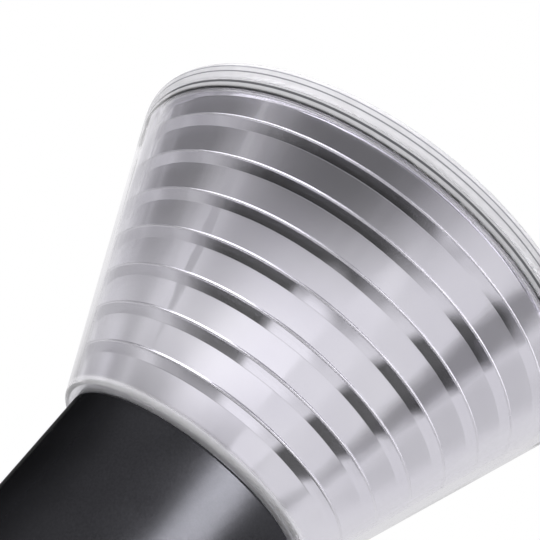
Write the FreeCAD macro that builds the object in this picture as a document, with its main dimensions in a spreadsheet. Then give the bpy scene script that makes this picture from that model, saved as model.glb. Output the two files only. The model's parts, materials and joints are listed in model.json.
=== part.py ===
# Submersible pond spot light with a flared clear shade, on a swivelling yoke and a weighted base.
#
# The lamp head is described about its tilt pivot: head +Z is the way it shines and head Y is the pivot.
# Heights called h are measured along the head from the foot of the shade towards its mouth.
# The whole lamp stands on the XY plane with +Z up, and the rest pose aims the head up and towards +X.
import FreeCAD
import Part
import math
import os
import re
import Sketcher
from FreeCAD import Placement, Rotation, Vector

SIZES = {
    # base
    "base_radius": 58, "base_thickness": 8, "base_round": 2.5, "pad_inset": 3, "pad_thickness": 2.5,
    "anchor_circle": 46, "anchor_hole": 2.75, "anchor_sink": 2.2, "anchor_count": 4,
    # pan swivel
    "pan_stud": 3, "pan_head": 5.5, "pan_head_height": 3.3, "pan_washer_radius": 8,
    "pan_washer_height": 1.2, "swivel_radius": 12, "swivel_height": 1, "pan_nut_flat": 5,
    "pan_nut_height": 5, "nut_well_gap": 1.5, "pan_head_edge": 1, "running_gap": 0.05, "face_gap": 0.02,
    # yoke
    "yoke_width": 20, "yoke_steel": 3, "yoke_bend": 4, "yoke_tip_round": 9.9, "pivot_height": 80,
    "yoke_hole_gap": 0.3,
    # tilt pivot
    "beam_angle": 43.4, "boss_length": 7, "boss_radius": 8, "tilt_stud": 3, "tilt_stud_depth": 6,
    "tilt_stud_edge": 0.6, "tilt_washer_radius": 7.5, "tilt_washer_height": 1, "knob_radius": 11.5,
    "knob_height": 12, "knob_flute": 3.6, "knob_flute_reach": 13.5, "knob_flute_count": 7,
    "knob_well": 9, "knob_dish": 7.2, "knob_dish_depth": 1.2, "knob_round": 1.4,
    # collar round the tube
    "collar_wall": 3.5, "collar_height": 18, "ear_reach": 11, "ear_half_width": 6, "collar_slit": 2,
    "collar_screw": 2, "collar_screw_head": 3.5, "collar_screw_head_height": 4, "collar_nut_flat": 3.5,
    "collar_nut_height": 3.2, "collar_screw_gap": 0.15, "collar_screw_end": 1,
    # housing tube
    "tube_radius": 25, "tube_wall": 2.5, "pivot_to_shade": 54, "pivot_to_rear": 36, "tube_edge": 0.5,
    "spigot_step": 3.5, "spigot_height": 6, "spigot_wall": 3, "shoulder": 3,
    # flared shade and what closes it
    "shade_overhang": 2.1, "shade_angle": 24.16, "shade_height": 57.4, "shade_wall": 1.4,
    "shade_lip": 1.2, "seal_width": 1.5, "shade_round": 0.9, "rim_height": 3.2, "rim_lip": 1.5,
    "rim_lip_reach": 4.5, "rim_round": 1, "joint_bevel": 0.35, "glass_thickness": 1.6, "glass_gap": 0.2,
    "gasket_height": 0.6, "gasket_width": 2.6, "seat_thickness": 0.8,
    # throat seal, reflector and its ribs
    "seal_gap": 0.05, "reflector_gap": 0.9, "reflector_wall": 1.2, "reflector_top_gap": 0.1,
    "rib_first": 8.1, "rib_pitch": 6.7, "rib_back": 1.6, "rib_front": 0.6,
    "rib_height": 0.8, "reflector_lip": 0.3, "inner_step": 0.35, "reflector_floor": 1, "neck_gap": 0.1,
    # retaining ring and light engine
    "ring_neck_wall": 3, "ring_flange_width": 2.3, "ring_flange_height": 1.2,
    "ring_flange_edge": 0.6, "ring_bore_edge": 0.8, "ring_slot": 2.4, "ring_slot_depth": 0.7,
    "ring_slot_inset": 1.6, "ring_slot_count": 4, "board_gap": 0.7, "board_thickness": 1.6,
    "board_height": 1.5, "emitter_side": 3.5, "emitter_height": 0.7, "emitter_ring": 7.4,
    "emitter_count": 6, "dome_radius": 1.45, "screw_ring_inset": 2.9, "board_screw": 1.25,
    "board_screw_head": 2.2, "board_screw_head_height": 1.4, "board_screw_depth": 6,
    "board_screw_count": 3, "screw_run_out": 0.5, "sink_gap": 0.2, "sink_slug": 7, "sink_fins": 20,
    "fin_core": 9, "fin_slot": 2.6, "fin_count": 10, "lead_radius": 0.8, "lead_offset": 7, "lead_gap": 0.6,
    "lead_foot": 8,
    # driver
    "driver_width": 30, "driver_length": 34, "driver_thickness": 1.6, "driver_row_low": 10.2,
    "driver_row_high": 23.6, "driver_row_side": 6.6, "cradle_floor": 2, "cradle_gap": 0.3,
    "cradle_window": 9, "rail_depth": 3.3, "rail_half_width": 2.6, "rail_grip": 0.8,
    "capacitor_radius": 4, "capacitor_height": 12, "choke_radius": 5, "choke_height": 6,
    "choke_waist": 1.2, "choke_lip": 1.1, "capacitor_edge": 0.4, "chip_length": 6, "chip_width": 5,
    "chip_height": 1.6, "terminal_length": 10, "terminal_width": 7, "terminal_height": 8,
    "terminal_entry": 1.4, "terminal_entry_height": 3.2, "terminal_entry_side": 2.5,
    "terminal_inset": 1,
    # rear cap and gland
    "cap_flange": 6, "cap_neck": 14, "cap_neck_gap": 0.2, "cap_neck_wall": 6, "cap_web": 8,
    "cap_edge": 1.2, "ring_seal_section": 1, "ring_seal_from_end": 4, "groove_gap": 0.3,
    "cap_screw": 1.5, "cap_screw_head": 2.6, "cap_screw_head_depth": 1.5, "cap_screw_depth": 4,
    "cap_screw_from_rear": 4, "cap_screw_count": 3, "gland_thread": 7.9, "gland_hex_flat": 10,
    "gland_hex_height": 4.8, "gland_washer_radius": 10.5, "gland_washer_height": 1.2,
    "locknut_flat": 11, "locknut_height": 4, "gland_bore": 4.2, "gland_male_radius": 7.5,
    "gland_male_length": 6, "gland_seal_radius": 6, "gland_seal_length": 8, "gland_seal_proud": 1,
    "cable_radius": 3.1, "gland_nut_radius": 10, "gland_nut_end": 5, "gland_nut_bore": 4,
    "gland_nut_flute": 1.2, "gland_nut_flute_reach": 10.7, "gland_nut_gap": 0.3, "gland_skirt": 0.5,
    "gland_nut_flute_count": 12, "gland_nut_nose": 2.5,
    # screw heads
    "socket_depth": 1.8, "socket_share": 0.55, "thread_gap": 0.05,
}

doc = FreeCAD.newDocument("PondLight")
sheet = doc.addObject("Spreadsheet::Sheet", "Sizes")
for row, (alias, number) in enumerate(SIZES.items(), start=1):
    sheet.set(f"A{row}", alias)
    sheet.set(f"B{row}", str(number))
    sheet.setAlias(f"B{row}", alias)
doc.recompute()

PARTS = []


# ---------------------------------------------------------------- expressions
def value(text):
    """The number that an expression of cell names gives."""
    found = sheet.evalExpression(str(text))
    return float(getattr(found, "Value", found))


def bound(text):
    """The same expression as other objects have to write it."""
    return re.sub(r"[A-Za-z_]\w*", lambda m: f"Sizes.{m[0]}" if m[0] in SIZES else m[0], str(text))


def bind(thing, **fields):
    """Binds properties of an object to expressions of cell names."""
    for field, text in fields.items():
        thing.setExpression(field, bound(text))


def number(alias):
    """A cell that counts copies, as a whole number."""
    return int(round(value(alias)))


# ---------------------------------------------------------------- sketches and bodies
def new_body(label):
    body = doc.addObject("PartDesign::Body", label)
    PARTS.append(body)
    return body


def plane(body, role):
    return next(f for f in body.Origin.OriginFeatures if f.Role == role)


def new_sketch(body, role, offset=None):
    """A sketch on one of the body's own origin planes, lifted off it by an expression."""
    sketch = body.newObject("Sketcher::SketchObject", body.Label + "_sketch")
    sketch.AttachmentSupport = [(plane(body, role), "")]
    sketch.MapMode = "FlatFace"
    if offset is not None:
        sketch.setExpression("AttachmentOffset.Base.z", bound(offset))
    return sketch


def fix_point(sketch, edge, end, across, up):
    """Ties one end of a sketch edge to the origin by two expressions."""
    for kind, text, axis in (("DistanceX", across, -2), ("DistanceY", up, -1)):
        now = value(text)
        if abs(now) < 1e-9:
            sketch.addConstraint(Sketcher.Constraint("PointOnObject", edge, end, axis))
            continue
        index = sketch.addConstraint(Sketcher.Constraint(kind, -1, 1, edge, end, now))
        sketch.setExpression(f"Constraints[{index}]", bound(text))


def polygon(sketch, points):
    """A closed outline through points that are pairs of expressions."""
    spots = [Vector(value(a), value(b), 0) for a, b in points]
    first = sketch.GeometryCount
    count = len(spots)
    for i in range(count):
        sketch.addGeometry(Part.LineSegment(spots[i], spots[(i + 1) % count]), False)
    for i in range(count):
        following = first + (i + 1) % count
        sketch.addConstraint(Sketcher.Constraint("Coincident", first + i, 2, following, 1))
    for i, (across, up) in enumerate(points):
        fix_point(sketch, first + i, 1, across, up)


def circle(sketch, across, up, radius):
    """A circle whose centre and radius are expressions."""
    centre = Vector(value(across), value(up), 0)
    edge = sketch.addGeometry(Part.Circle(centre, Vector(0, 0, 1), value(radius)), False)
    if abs(centre.x) < 1e-9 and abs(centre.y) < 1e-9:
        sketch.addConstraint(Sketcher.Constraint("Coincident", edge, 3, -1, 1))
    else:
        fix_point(sketch, edge, 3, across, up)
    index = sketch.addConstraint(Sketcher.Constraint("Radius", edge, value(radius)))
    sketch.setExpression(f"Constraints[{index}]", bound(radius))


def box_points(x0, x1, y0, y1):
    return [(x0, y0), (x1, y0), (x1, y1), (x0, y1)]


def socket_points(flat):
    """The outline of a hexagon socket; flat is half the distance across its flats."""
    corner = f"({flat}) / cos(30)"
    return [(f"{corner} * cos({60 * i})", f"{corner} * sin({60 * i})") for i in range(6)]


def revolve(body, outlines, groove=False):
    """Turns closed outlines of (radius, height) about the body's Z axis."""
    sketch = new_sketch(body, "XZ_Plane")
    for points in outlines:
        polygon(sketch, points)
    kind = "PartDesign::Groove" if groove else "PartDesign::Revolution"
    turned = body.newObject(kind, body.Label + "_turned")
    turned.Profile = (sketch, [""])
    turned.ReferenceAxis = (sketch, ["V_Axis"])
    turned.Angle = 360
    doc.recompute()
    return turned


def turned_part(label, points):
    body = new_body(label)
    revolve(body, [points])
    return body


def pad(body, role, outlines, length, start=None, midplane=False):
    """A pad of outlines; each outline is a polygon's points or a circle's (across, up, radius)."""
    sketch = new_sketch(body, role, start)
    draw(sketch, outlines)
    made = body.newObject("PartDesign::Pad", body.Label + "_pad")
    made.Profile = (sketch, [""])
    made.Midplane = midplane
    bind(made, Length=length)
    doc.recompute()
    return made


def pocket(body, role, outlines, length, start=None, midplane=False, reverse=False):
    """A pocket that is checked to take material away."""
    before = body.Shape.Volume
    sketch = new_sketch(body, role, start)
    draw(sketch, outlines)
    made = body.newObject("PartDesign::Pocket", body.Label + "_pocket")
    made.Profile = (sketch, [""])
    made.Midplane = midplane
    made.Reversed = reverse
    bind(made, Length=length)
    doc.recompute()
    if body.Shape.Volume > before - 1e-6:
        raise RuntimeError(f"{body.Label}: a pocket took nothing away")
    return made


def draw(sketch, outlines):
    for outline in outlines:
        if isinstance(outline, tuple):
            circle(sketch, *outline)
        else:
            polygon(sketch, outline)


def polar(body, feature, count):
    """Copies a feature round the body's Z axis."""
    made = body.newObject("PartDesign::PolarPattern", body.Label + "_round")
    made.Originals = [feature]
    made.Axis = (plane(body, "Z_Axis"), [""])
    made.Angle = 360
    made.setExpression("Occurrences", bound(count))
    body.Tip = made
    doc.recompute()
    return made


def edges(shape, wanted):
    """The names of a shape's edges that a test picks."""
    return [f"Edge{i}" for i, e in enumerate(shape.Edges, start=1) if wanted(e)]


def soften(body, kind, size, wanted):
    """Rounds or bevels the edges of the body's last feature that a test picks."""
    base = body.Tip
    names = edges(base.Shape, wanted)
    if not names:
        raise RuntimeError(f"{body.Label}: no edge to soften")
    made = body.newObject(f"PartDesign::{kind}", f"{body.Label}_{kind.lower()}")
    made.Base = (base, names)
    bind(made, **{"Radius" if kind == "Fillet" else "Size": size})
    doc.recompute()
    return made


def ring_edge(radius, height):
    """Picks the round edge of this radius at this height on the body's Z axis."""
    want_r, want_z = value(radius), value(height)

    def wanted(edge):
        curve = edge.Curve
        return (
            isinstance(curve, Part.Circle)
            and abs(curve.Radius - want_r) < 1e-4
            and abs(curve.Center.z - want_z) < 1e-4
            and math.hypot(curve.Center.x, curve.Center.y) < 1e-4
        )

    return wanted


# ---------------------------------------------------------------- Part primitives
def cylinder(name, radius, height):
    made = doc.addObject("Part::Cylinder", name)
    bind(made, Radius=radius, Height=height)
    return made


def block(name, length, width, height):
    made = doc.addObject("Part::Box", name)
    bind(made, Length=length, Width=width, Height=height)
    return made


def hexagon(name, flat, height):
    """A six-sided prism; flat is half the distance across its flats."""
    made = doc.addObject("Part::Prism", name)
    made.Polygon = 6
    bind(made, Circumradius=f"({flat}) / cos(30)", Height=height)
    return made


def place(thing, spot, axis=(0, 0, 1), turn=0):
    thing.Placement = Placement(Vector(*spot), Rotation(Vector(*axis), turn))
    return thing


def cut(label, base, tools):
    made = doc.addObject("Part::MultiFuse", label + "_tools") if len(tools) > 1 else tools[0]
    if len(tools) > 1:
        made.Shapes = tools
    done = doc.addObject("Part::Cut", label)
    done.Base = base
    done.Tool = made
    return done


def group(label, pieces):
    """Separate equal solids that share one node."""
    doc.recompute()
    made = doc.addObject("Part::Compound", label)
    made.Links = pieces
    PARTS.append(made)
    return made


def sub_part(thing):
    PARTS.append(thing)
    return thing


# ---------------------------------------------------------------- radii and reaches that pieces share
TUBE_BORE = "(tube_radius - tube_wall)"
SPIGOT_RADIUS = "(tube_radius - spigot_step)"
SPIGOT_BORE = f"({SPIGOT_RADIUS} - spigot_wall)"
SHADE_FOOT_RADIUS = "(tube_radius + shade_overhang)"
SHADE_LIP_BORE = f"({SPIGOT_RADIUS} + seal_width)"
RING_BORE = f"({SPIGOT_BORE} - ring_neck_wall)"
SCREW_RING = f"({RING_BORE} - screw_ring_inset)"
FLANGE_RADIUS = f"({SPIGOT_BORE} + ring_flange_width)"
BOSS_REACH = "(tube_radius + boss_length)"


# ---------------------------------------------------------------- where things stand
UPRIGHT = Placement()
BASE_TOP = "(pad_thickness + base_thickness)"
YOKE_FOOT = f"({BASE_TOP} + swivel_height)"
PIVOT = Vector(0, 0, value(f"{BASE_TOP} + pivot_height"))
HEAD = Placement(PIVOT, Rotation(Vector(0, 1, 0), 90 - value("beam_angle")))


def on_head(thing, local=UPRIGHT):
    """Sets a piece that is described about the pivot into the aimed head."""
    thing.Placement = HEAD.multiply(local)
    return thing


def head_z(h):
    """The height on the head's Z axis of a height above the shade's foot."""
    return f"(pivot_to_shade + ({h}))"


def sideways(side):
    """A turn that points +Z out along +Y (side 1) or -Y (side -1)."""
    return Rotation(Vector(1, 0, 0), -90 * side)


# ---------------------------------------------------------------- base
def make_base():
    top = BASE_TOP
    body = new_body("base_plate")
    pad(body, "XY_Plane", [("0", "0", "base_radius")], "base_thickness", start="pad_thickness")
    well = "(pan_nut_flat / cos(30) + nut_well_gap)"
    pocket(body, "XY_Plane", [("0", "0", well)], "pan_nut_height + face_gap", start="pad_thickness",
           reverse=True)
    pocket(body, "XY_Plane", [("0", "0", "pan_stud")], top, start=top)
    anchor = ("anchor_circle * cos(45)", "anchor_circle * sin(45)", "anchor_hole")
    hole = pocket(body, "XY_Plane", [anchor], top, start=top)
    polar(body, hole, "anchor_count")
    soften(body, "Fillet", "base_round", ring_edge("base_radius", top))
    soften(body, "Chamfer", "anchor_sink", lambda e: isinstance(e.Curve, Part.Circle)
           and abs(e.Curve.Radius - value("anchor_hole")) < 1e-4 and e.Curve.Center.z > value(top) - 1e-4)

    mat = new_body("base_pad")
    pad(mat, "XY_Plane", [("0", "0", "base_radius - pad_inset")], "pad_thickness")
    hole = pocket(mat, "XY_Plane", [anchor], "pad_thickness", start="pad_thickness")
    polar(mat, hole, "anchor_count")

    disc = new_body("swivel_disc")
    pad(disc, "XY_Plane", [("0", "0", "swivel_radius"), ("0", "0", "pan_stud")], "swivel_height - face_gap",
        start=top)

    washer_foot = f"({YOKE_FOOT} + yoke_steel + face_gap)"
    washer = new_body("pan_washer")
    pad(washer, "XY_Plane", [("0", "0", "pan_washer_radius"), ("0", "0", "pan_stud")], "pan_washer_height",
        start=washer_foot)

    head_foot = f"({washer_foot} + pan_washer_height)"
    head_top = f"({head_foot} + pan_head_height)"
    foot = "pad_thickness"
    bolt = turned_part("pan_bolt", [
        ("0", foot), ("pan_stud", foot), ("pan_stud", head_foot), ("pan_head", head_foot),
        ("pan_head", f"{head_top} - pan_head_edge * 1.5"), ("pan_head - pan_head_edge", head_top),
        ("0", head_top)])
    pocket(bolt, "XY_Plane", [socket_points("pan_head * socket_share")], "socket_depth", start=head_top)

    nut = cut("pan_nut", hexagon("pan_nut_hex", "pan_nut_flat", "pan_nut_height"),
              [cylinder("pan_nut_thread", "pan_stud", "pan_nut_height")])
    nut.Placement = Placement(Vector(0, 0, value("pad_thickness")), Rotation())
    sub_part(nut)
    return body, mat, disc, washer, bolt


# ---------------------------------------------------------------- yoke
def make_yoke():
    body = new_body("yoke")
    inner = f"({BOSS_REACH} + tilt_washer_height + face_gap * 2)"
    outer = f"({inner} + yoke_steel)"
    foot = YOKE_FOOT
    floor = f"({foot} + yoke_steel)"
    tip = f"({BASE_TOP} + pivot_height + yoke_width / 2)"
    points = [(f"-{outer}", foot), (outer, foot), (outer, tip), (inner, tip), (inner, floor),
              (f"-{inner}", floor), (f"-{inner}", tip), (f"-{outer}", tip)]
    pad(body, "YZ_Plane", [points], "yoke_width", midplane=True)

    def along_x(y, z):
        def wanted(edge):
            centre = edge.CenterOfMass
            return (abs(abs(centre.y) - value(y)) < 1e-4 and abs(centre.z - value(z)) < 1e-4
                    and abs(edge.Length - value("yoke_width")) < 1e-4 and abs(centre.x) < 1e-4)
        return wanted

    soften(body, "Fillet", "yoke_bend", along_x(inner, floor))
    soften(body, "Fillet", "yoke_bend + yoke_steel", along_x(outer, foot))

    def arm_tip(edge):
        centre = edge.CenterOfMass
        return (abs(centre.z - value(tip)) < 1e-4 and abs(abs(centre.x) - value("yoke_width") / 2) < 1e-4
                and abs(edge.Length - value("yoke_steel")) < 1e-4)

    soften(body, "Fillet", "yoke_tip_round", arm_tip)
    hole = "tilt_stud + yoke_hole_gap"
    pocket(body, "XZ_Plane", [("0", f"{BASE_TOP} + pivot_height", hole)], f"2 * {outer}", midplane=True)
    pocket(body, "XY_Plane", [("0", "0", "pan_stud + running_gap")], floor, start=floor)

    for side, name in ((1, "left"), (-1, "right")):
        for where, kind in (("inner", inner), ("outer", outer)):
            start = f"{BOSS_REACH} + face_gap" if where == "inner" else outer
            washer = new_body(f"tilt_washer_{where}_{name}")
            pad(washer, "XY_Plane", [("0", "0", "tilt_washer_radius"), ("0", "0", "tilt_stud + running_gap")],
                "tilt_washer_height", start=start)
            washer.Placement = Placement(PIVOT, sideways(side))


# ---------------------------------------------------------------- tilt knobs
def make_knobs():
    tip = f"({BOSS_REACH} - tilt_stud_depth)"
    seat = f"({BOSS_REACH} + face_gap * 3 + tilt_washer_height * 2 + yoke_steel)"
    for side, name in ((1, "left"), (-1, "right")):
        knob = new_body(f"tilt_knob_{name}")
        pad(knob, "XY_Plane", [("0", "0", "knob_radius")], "knob_height", start=seat)
        top = f"({seat} + knob_height)"
        soften(knob, "Fillet", "knob_round", ring_edge("knob_radius", top))
        flute = pocket(knob, "XY_Plane", [("knob_flute_reach", "0", "knob_flute")], "knob_height",
                       start=top)
        polar(knob, flute, "knob_flute_count")
        pocket(knob, "XY_Plane", [("0", "0", "knob_dish")], "knob_dish_depth", start=top)
        pocket(knob, "XY_Plane", [("0", "0", "tilt_stud")], "knob_well", start=seat, reverse=True)
        on_head(knob, Placement(Vector(), sideways(side)))

        stud = turned_part(f"tilt_stud_{name}", [
            ("0", tip), ("tilt_stud - tilt_stud_edge", tip), ("tilt_stud", f"{tip} + tilt_stud_edge"),
            ("tilt_stud", f"{seat} + knob_well"),
            ("0", f"{seat} + knob_well")])
        on_head(stud, Placement(Vector(), sideways(side)))


# ---------------------------------------------------------------- collar
def make_collar():
    outer = "(tube_radius + collar_wall)"
    ear_end = f"({outer} + ear_reach)"
    body = new_body("mounting_collar")
    pad(body, "XY_Plane", [("0", "0", outer)], "collar_height", midplane=True)
    pad(body, "XZ_Plane", [("0", "0", "boss_radius")], f"2 * {BOSS_REACH}", midplane=True)
    pad(body, "XY_Plane", [box_points("tube_radius", ear_end, "-ear_half_width", "ear_half_width")],
        "collar_height", midplane=True)
    pocket(body, "XY_Plane", [("0", "0", "tube_radius")], "collar_height + 2", midplane=True)
    slit = box_points("tube_radius - 1", f"{ear_end} + 1", "-collar_slit / 2", "collar_slit / 2")
    pocket(body, "XY_Plane", [slit], "collar_height + 2", midplane=True)
    pocket(body, "XZ_Plane", [("0", "0", "tilt_stud + running_gap")], f"2 * {BOSS_REACH} + 2", midplane=True)
    pocket(body, "XZ_Plane", [(f"{outer} + ear_reach / 2", "0", "collar_screw + collar_screw_gap")],
           "2 * ear_half_width + 2", midplane=True)
    on_head(body)

    across = value(f"{outer} + ear_reach / 2")
    end = "-ear_half_width - collar_nut_height - collar_screw_end"
    head_top = "ear_half_width + collar_screw_head_height"
    screw = turned_part("collar_screw", [
        ("0", end), ("collar_screw", end), ("collar_screw", "ear_half_width"),
        ("collar_screw_head", "ear_half_width"), ("collar_screw_head", head_top), ("0", head_top)])
    pocket(screw, "XY_Plane", [socket_points("collar_screw_head * socket_share")], "socket_depth",
           start=head_top)
    on_head(screw, Placement(Vector(across, 0, 0), sideways(1)))
    nut = cut("collar_nut", hexagon("collar_nut_hex", "collar_nut_flat", "collar_nut_height"),
              [cylinder("collar_nut_thread", "collar_screw", "collar_nut_height")])
    lift = value("ear_half_width + collar_nut_height")
    sub_part(on_head(nut, Placement(Vector(across, -lift, 0), sideways(1))))


# ---------------------------------------------------------------- housing tube
def make_tube():
    bore = TUBE_BORE
    front = "pivot_to_shade"
    rear = "-pivot_to_rear"
    tip = "pivot_to_shade + spigot_height"
    body = turned_part("housing_tube", [
        (bore, rear), ("tube_radius", rear), ("tube_radius", f"{front} - tube_edge"),
        ("tube_radius - tube_edge", front), (SPIGOT_RADIUS, front), (SPIGOT_RADIUS, tip),
        (SPIGOT_BORE, tip), (SPIGOT_BORE, f"{front} - shoulder"), (bore, f"{front} - shoulder")])
    height = "cap_screw_from_rear - pivot_to_rear"
    hole = pocket(body, "YZ_Plane", [("0", height, "cap_screw_head")], "tube_wall + 2",
                  start="tube_radius + 1")
    polar(body, hole, "cap_screw_count")
    return on_head(body)


# ---------------------------------------------------------------- shade, rim ring, glass, gasket
def shade_outer(h):
    return f"({SHADE_FOOT_RADIUS} + ({h}) * tan(shade_angle))"


def shade_inner(h):
    return f"({shade_outer(h)} - shade_wall)"


RIM_FOOT = "(shade_height - rim_height)"
GLASS_TOP = "(shade_height - rim_lip)"
GLASS_FOOT = f"({GLASS_TOP} - glass_thickness)"
SEAT_TOP = f"({GLASS_FOOT} - gasket_height)"
SEAT_FOOT = f"({SEAT_TOP} - seat_thickness)"
GLASS_EDGE = f"({shade_outer(RIM_FOOT)} - shade_wall - glass_gap)"


def make_shade():
    upstand = f"({GLASS_EDGE} + glass_gap)"
    seat = f"({GLASS_EDGE} - gasket_width - glass_gap)"
    lip = "shade_lip"
    body = turned_part("flared_shade", [
        (SHADE_LIP_BORE, head_z("0")), (shade_outer("0"), head_z("0")),
        (shade_outer(f"{RIM_FOOT} - joint_bevel"), head_z(f"{RIM_FOOT} - joint_bevel")),
        (f"{shade_outer(RIM_FOOT)} - joint_bevel", head_z(RIM_FOOT)),
        (upstand, head_z(RIM_FOOT)), (upstand, head_z(SEAT_TOP)), (seat, head_z(SEAT_TOP)),
        (seat, head_z(SEAT_FOOT)), (shade_inner(SEAT_FOOT), head_z(SEAT_FOOT)),
        (shade_inner(lip), head_z(lip)), (SHADE_LIP_BORE, head_z(lip))])
    soften(body, "Fillet", "shade_round", ring_edge(shade_outer("0"), head_z("0")))
    on_head(body)

    ring_bore = f"({GLASS_EDGE} + glass_gap)"
    ring = turned_part("rim_ring", [
        (ring_bore, head_z(RIM_FOOT)), (f"{shade_outer(RIM_FOOT)} - joint_bevel", head_z(RIM_FOOT)),
        (shade_outer(f"{RIM_FOOT} + joint_bevel"), head_z(f"{RIM_FOOT} + joint_bevel")),
        (shade_outer("shade_height"), head_z("shade_height")),
        (f"{GLASS_EDGE} - rim_lip_reach + rim_lip", head_z("shade_height")),
        (f"{GLASS_EDGE} - rim_lip_reach", head_z(GLASS_TOP)),
        (ring_bore, head_z(GLASS_TOP))])
    soften(ring, "Fillet", "rim_round", ring_edge(shade_outer("shade_height"), head_z("shade_height")))
    on_head(ring)

    glass = turned_part("front_glass", [
        ("0", head_z(GLASS_FOOT)), (GLASS_EDGE, head_z(GLASS_FOOT)), (GLASS_EDGE, head_z(GLASS_TOP)),
        ("0", head_z(GLASS_TOP))])
    on_head(glass)

    gasket = turned_part("front_gasket", [
        (f"{GLASS_EDGE} - gasket_width", head_z(SEAT_TOP)), (GLASS_EDGE, head_z(SEAT_TOP)),
        (GLASS_EDGE, head_z(GLASS_FOOT)), (f"{GLASS_EDGE} - gasket_width", head_z(GLASS_FOOT))])
    on_head(gasket)

    seal = turned_part("throat_seal", [
        (f"{SPIGOT_RADIUS} + seal_gap", head_z("0")), (f"{SHADE_LIP_BORE} - seal_gap", head_z("0")),
        (f"{SHADE_LIP_BORE} - seal_gap", head_z("shade_lip")),
        (f"{SPIGOT_RADIUS} + seal_gap", head_z("shade_lip"))])
    on_head(seal)


# ---------------------------------------------------------------- reflector
def reflector_outer(h):
    return f"({shade_inner(h)} - reflector_gap)"


def reflector_inner(h):
    return f"({reflector_outer(h)} - reflector_wall)"


def make_reflector():
    """A mirror cone with sharp ribs and a thick lip outside, fine steps inside and a floor that is clamped."""
    foot = "shade_lip"
    top = f"({SEAT_FOOT} - reflector_top_gap)"
    outside = [(reflector_outer(foot), head_z(foot))]
    inside = []
    lip_foot = f"({top} - reflector_lip * 2)"
    lip_crest = f"({top} - reflector_lip)"
    room = value(f"{lip_foot} - rib_first - rib_front")
    for i in range(1 + int(room // value("rib_pitch"))):
        crest = f"(rib_first + {i} * rib_pitch)"
        back = f"({crest} - rib_back)"
        front = f"({crest} + rib_front)"
        outside += [(reflector_outer(back), head_z(back)),
                    (f"{reflector_outer(crest)} + rib_height", head_z(crest)),
                    (reflector_outer(front), head_z(front))]
        if i:
            inside += [(reflector_inner(crest), head_z(crest)),
                       (f"{reflector_inner(crest)} - inner_step", head_z(f"{crest} + inner_step"))]
    floor_foot = "spigot_height"
    floor_top = "(spigot_height + reflector_floor)"
    hole = f"({SPIGOT_BORE} + neck_gap)"
    rolled_lip = [(reflector_outer(lip_foot), head_z(lip_foot)),
                  (f"{reflector_outer(lip_crest)} + rib_height", head_z(lip_crest)),
                  (f"{reflector_outer(top)} + rib_height", head_z(top))]
    points = outside + rolled_lip + [(reflector_inner(top), head_z(top))]
    points += inside[::-1]
    points += [(reflector_inner(floor_top), head_z(floor_top)), (hole, head_z(floor_top)),
               (hole, head_z(floor_foot)), (reflector_inner(floor_foot), head_z(floor_foot)),
               (reflector_inner(foot), head_z(foot))]
    return on_head(turned_part("reflector", points))


# ---------------------------------------------------------------- light engine
def make_light_engine():
    floor_top = "(spigot_height + reflector_floor)"
    board_foot = "board_height"
    board_top = "(board_height + board_thickness)"
    neck = f"({SPIGOT_BORE} - thread_gap)"
    flange_top = f"({floor_top} + ring_flange_height)"
    ring = turned_part("retaining_ring", [
        (RING_BORE, head_z(board_top)), (neck, head_z(board_top)), (neck, head_z(floor_top)),
        (FLANGE_RADIUS, head_z(floor_top)),
        (f"{FLANGE_RADIUS} - ring_flange_edge", head_z(flange_top)),
        (f"{RING_BORE} + ring_bore_edge", head_z(flange_top)),
        (RING_BORE, head_z(f"{flange_top} - ring_bore_edge"))])
    notch = box_points(f"{RING_BORE} + ring_slot_inset", f"{FLANGE_RADIUS} + 1", "-ring_slot / 2",
                       "ring_slot / 2")
    slot = pocket(ring, "XY_Plane", [notch], "ring_slot_depth", start=head_z(flange_top))
    polar(ring, slot, "ring_slot_count")
    on_head(ring)

    board = new_body("led_board")
    pad(board, "XY_Plane", [("0", "0", f"{SPIGOT_BORE} - board_gap")], "board_thickness",
        start=head_z(board_foot))
    screw_hole = pocket(board, "XY_Plane", [("0", SCREW_RING, "board_screw + thread_gap")],
                        "board_thickness", start=head_z(board_top))
    polar(board, screw_hole, "board_screw_count")
    on_head(board)

    step = 360 / number("emitter_count")
    spots = [(0, 0)] + [(value(f"emitter_ring * cos({step * i})"), value(f"emitter_ring * sin({step * i})"))
                        for i in range(number("emitter_count"))]
    level = value(head_z(board_top))
    bases = []
    domes = []
    for i, (x, y) in enumerate(spots):
        half = value("emitter_side") / 2
        base = block(f"emitter_{i}", "emitter_side", "emitter_side", "emitter_height")
        bases.append(place(base, (x - half, y - half, level)))
        dome = doc.addObject("Part::Sphere", f"dome_{i}")
        dome.Angle1 = 0
        bind(dome, Radius="dome_radius")
        domes.append(place(dome, (x, y, level + value("emitter_height"))))
    on_head(group("led_emitters", bases))
    on_head(group("led_domes", domes))

    turn = 360 / number("board_screw_count")
    screws = []
    for i in range(number("board_screw_count")):
        angle = math.radians(90 + turn * i)
        ring_r = value(SCREW_RING)
        x, y = ring_r * math.cos(angle), ring_r * math.sin(angle)
        shank = cylinder(f"board_screw_shank_{i}", "board_screw",
                         "board_screw_depth + board_thickness")
        place(shank, (x, y, level - value("board_screw_depth + board_thickness")))
        head = cylinder(f"board_screw_head_{i}", "board_screw_head", "board_screw_head_height")
        place(head, (x, y, level))
        socket = hexagon(f"board_screw_socket_{i}", "board_screw_head * socket_share", "socket_depth")
        place(socket, (x, y, level + value("board_screw_head_height / 2")))
        whole = doc.addObject("Part::Fuse", f"board_screw_blank_{i}")
        whole.Base = shank
        whole.Tool = head
        screws.append(cut(f"board_screw_{i}", whole, [socket]))
    on_head(group("board_screws", screws))


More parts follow.
